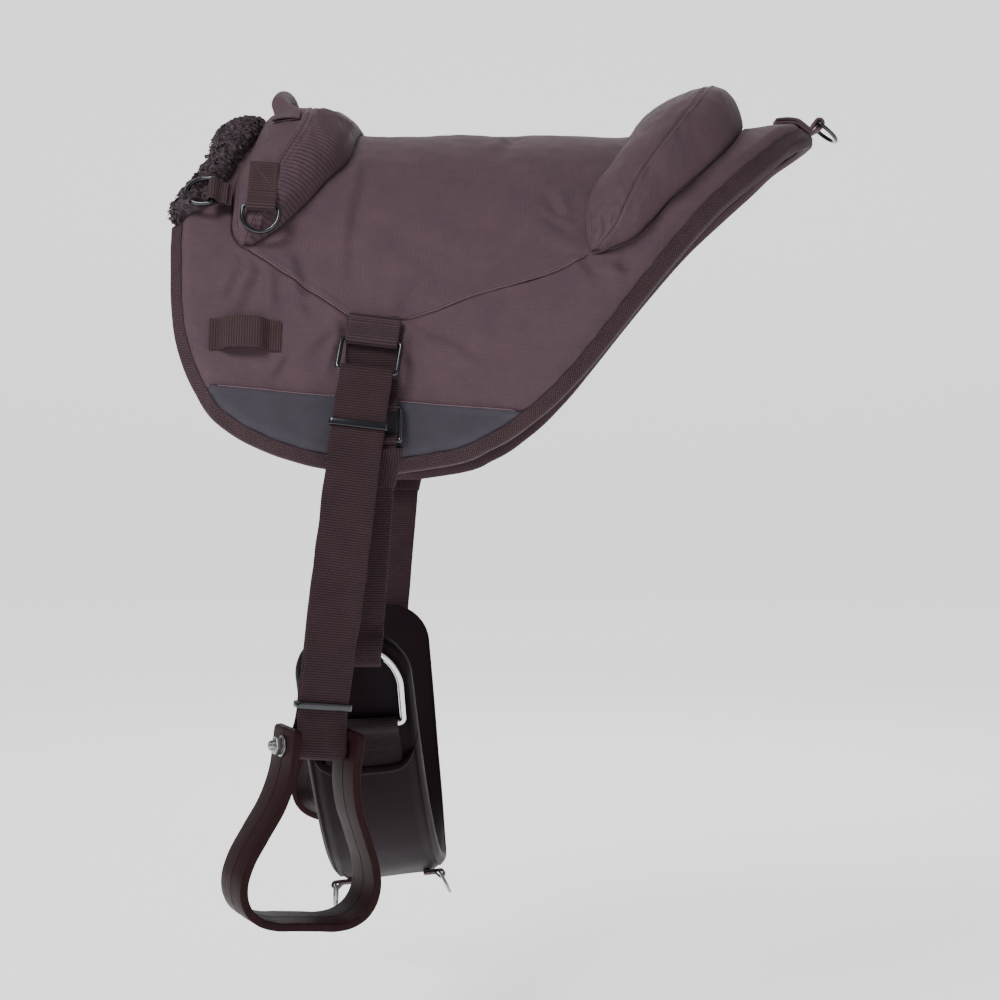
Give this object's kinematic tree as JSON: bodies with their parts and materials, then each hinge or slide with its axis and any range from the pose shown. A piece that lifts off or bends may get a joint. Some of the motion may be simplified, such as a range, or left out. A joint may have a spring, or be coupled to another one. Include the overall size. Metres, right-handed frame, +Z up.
{
  "type": "bareback pad",
  "caption": "Bareback riding pad with fleece lining, padded pommel and cantle rolls, grab handle, web-hung bell-bottom stirrups and a padded girth, set as on a horse.",
  "frame": {"origin": "on the horse's spine, at the underside of the pad's fleece lining", "axes": "-X towards the horse's head, -Y to the horse's left, +Z up"},
  "size_m": [0.6132, 0.6554, 0.7769],
  "materials": {
    "nylon": "matte",
    "webbing": "matte",
    "fleece": "matte",
    "foam": "matte",
    "leather": "satin",
    "black_wire": "satin",
    "chrome": "polished",
    "steel": "polished",
    "moulding": "gloss",
    "neoprene": "satin"
  },
  "bodies": {
    "pad": {"cantle_foam": "foam", "cantle_front_panel": "nylon", "cantle_rear_panel": "nylon", "edge_binding": "webbing", "fleece_lining": "fleece", "foam_core": "foam", "grab_handle": "webbing", "left_cinch_hanger": "webbing", "left_cinch_ring": "black_wire", "left_keeper_strap": "webbing", "left_pommel_ring_tab": "webbing", "left_skirt": "nylon", "left_stirrup_hanger": "webbing", "left_wear_patch": "leather", "left_wither_ring_tab": "webbing", "pommel_foam": "foam", "pommel_ribbed_panel": "nylon", "pommel_top_panel": "nylon", "right_cinch_hanger": "webbing", "right_cinch_ring": "black_wire", "right_keeper_strap": "webbing", "right_pommel_ring_tab": "webbing", "right_skirt": "nylon", "right_stirrup_hanger": "webbing", "right_wear_patch": "leather", "right_wither_ring_tab": "webbing", "seat_panel": "nylon", "tail_ring_tab": "webbing", "wither_fleece": "fleece"},
    "front_belly_ring": {"front_belly_d_ring": "steel"},
    "girth": {"front_belly_ring_tab": "webbing", "girth_cover": "neoprene", "girth_pad": "neoprene", "girth_webbing": "webbing", "left_cinch_d_ring": "chrome", "left_latigo": "webbing", "rear_belly_ring_tab": "webbing", "right_cinch_d_ring": "chrome", "right_latigo": "webbing"},
    "left_stirrup": {"left_bolt_roller": "moulding", "left_stirrup": "moulding", "left_stirrup_bolt": "steel"},
    "left_lower_slide": {"left_lower_slide": "black_wire"},
    "left_pommel_ring": {"left_pommel_d_ring": "black_wire"},
    "left_stirrup_ring": {"left_stirrup_ring": "black_wire"},
    "left_strap": {"left_stirrup_strap": "webbing"},
    "left_upper_slide": {"left_upper_slide": "black_wire"},
    "left_wither_ring": {"left_wither_d_ring": "black_wire"},
    "rear_belly_ring": {"rear_belly_d_ring": "steel"},
    "right_stirrup": {"right_bolt_roller": "moulding", "right_stirrup": "moulding", "right_stirrup_bolt": "steel"},
    "right_lower_slide": {"right_lower_slide": "black_wire"},
    "right_pommel_ring": {"right_pommel_d_ring": "black_wire"},
    "right_stirrup_ring": {"right_stirrup_ring": "black_wire"},
    "right_strap": {"right_stirrup_strap": "webbing"},
    "right_upper_slide": {"right_upper_slide": "black_wire"},
    "right_wither_ring": {"right_wither_d_ring": "black_wire"},
    "tail_ring": {"tail_d_ring": "black_wire"}
  },
  "joints": [
    {"name": "left_stirrup_ring_hinge", "type": "hinge", "parent": "pad", "child": "left_stirrup_ring", "pos_m": [-0.108, -0.24608, -0.18547], "axis": [-0.9921, 0.0323, 0.1208], "range_deg": [0, 75]},
    {"name": "left_stirrup_strap_swing", "type": "hinge", "parent": "left_stirrup_ring", "child": "left_strap", "pos_m": [-0.11167, -0.25959, -0.212], "axis": [-0.9921, 0.0323, 0.1208], "range_deg": [0, 70]},
    {"name": "left_upper_slide_travel", "type": "slide", "parent": "left_strap", "child": "left_upper_slide", "axis": [-0.125, -0.2319, -0.9647], "range_m": [-0.011, 0.001]},
    {"name": "left_lower_slide_travel", "type": "slide", "parent": "left_strap", "child": "left_lower_slide", "axis": [-0.1208, 0.0039, -0.9927], "range_m": [-0.02, 0]},
    {"name": "left_stirrup_swing", "type": "hinge", "parent": "left_strap", "child": "left_stirrup", "pos_m": [-0.15074, -0.27827, -0.52515], "axis": [-0.8755, -0.4718, 0.1046], "range_deg": [-12, 60]},
    {"name": "left_pommel_ring_hinge", "type": "hinge", "parent": "pad", "child": "left_pommel_ring", "pos_m": [-0.206, -0.20543, -0.06585], "axis": [-0.9982, 0, 0.0598], "range_deg": [0, 140]},
    {"name": "left_wither_ring_hinge", "type": "hinge", "parent": "pad", "child": "left_wither_ring", "pos_m": [-0.2505, -0.18484, -0.04917], "axis": [0, 0.6116, 0.7911], "range_deg": [0, 150]},
    {"name": "right_stirrup_ring_hinge", "type": "hinge", "parent": "pad", "child": "right_stirrup_ring", "pos_m": [-0.108, 0.24608, -0.18547], "axis": [0.9921, 0.0323, -0.1208], "range_deg": [0, 75]},
    {"name": "right_stirrup_strap_swing", "type": "hinge", "parent": "right_stirrup_ring", "child": "right_strap", "pos_m": [-0.11167, 0.25959, -0.212], "axis": [0.9921, 0.0323, -0.1208], "range_deg": [0, 70]},
    {"name": "right_upper_slide_travel", "type": "slide", "parent": "right_strap", "child": "right_upper_slide", "axis": [-0.125, 0.2319, -0.9647], "range_m": [-0.011, 0.001]},
    {"name": "right_lower_slide_travel", "type": "slide", "parent": "right_strap", "child": "right_lower_slide", "axis": [-0.1208, -0.0039, -0.9927], "range_m": [-0.02, 0]},
    {"name": "right_stirrup_swing", "type": "hinge", "parent": "right_strap", "child": "right_stirrup", "pos_m": [-0.15074, 0.27827, -0.52515], "axis": [0.8755, -0.4718, -0.1046], "range_deg": [-12, 60]},
    {"name": "right_pommel_ring_hinge", "type": "hinge", "parent": "pad", "child": "right_pommel_ring", "pos_m": [-0.206, 0.20543, -0.06585], "axis": [0.9982, 0, -0.0598], "range_deg": [0, 140]},
    {"name": "right_wither_ring_hinge", "type": "hinge", "parent": "pad", "child": "right_wither_ring", "pos_m": [-0.2505, 0.18484, -0.04917], "axis": [0, 0.6116, -0.7911], "range_deg": [0, 150]},
    {"name": "tail_ring_hinge", "type": "hinge", "parent": "pad", "child": "tail_ring", "pos_m": [0.3045, 0, 0.0397], "axis": [0, -1, 0], "range_deg": [0, 150]},
    {"name": "front_belly_ring_hinge", "type": "hinge", "parent": "girth", "child": "front_belly_ring", "pos_m": [-0.15309, -0.05455, -0.68003], "axis": [0.0567, 0.9561, -0.2876], "range_deg": [-60, 80]},
    {"name": "rear_belly_ring_hinge", "type": "hinge", "parent": "girth", "child": "rear_belly_ring", "pos_m": [-0.05529, -0.05455, -0.66856], "axis": [-0.0569, -0.9589, 0.2781], "range_deg": [0, 60]},
    {"name": "girth_swing", "type": "hinge", "parent": "pad", "child": "girth", "pos_m": [-0.108, 0, -0.27106], "axis": [0, 1, 0], "range_deg": [-3, 3]}
  ]
}
